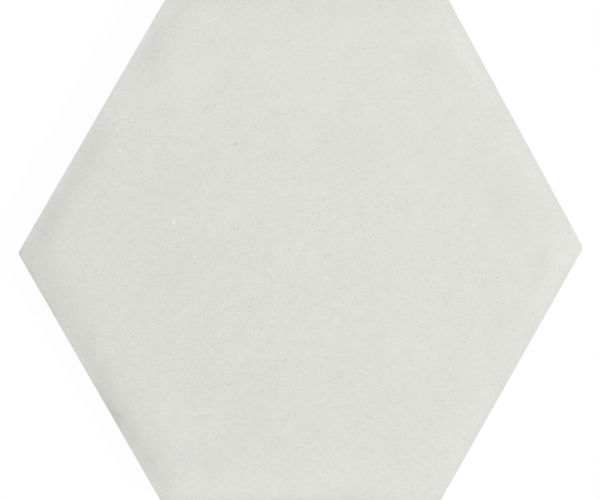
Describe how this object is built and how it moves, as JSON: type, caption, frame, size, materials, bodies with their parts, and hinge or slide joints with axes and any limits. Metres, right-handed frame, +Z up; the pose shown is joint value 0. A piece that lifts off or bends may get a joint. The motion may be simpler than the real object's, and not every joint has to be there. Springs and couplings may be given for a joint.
{
  "type": "hexagon floor tile",
  "caption": "Hexagonal pillowed ceramic floor tile with an off-white satin glaze, eased edges and a keyed back, lying face up.",
  "frame": {"origin": "on the bedding plane, under the middle of the tile's box", "axes": "+Z up out of the glazed face, +X towards the rounded point (over the two points), +Y towards the far straight side"},
  "size_m": [0.2, 0.1778, 0.009],
  "materials": {
    "glazed_body": "satin off-white glaze"
  },
  "bodies": {
    "root": {"hexagon_tile": "glazed_body"}
  },
  "joints": []
}
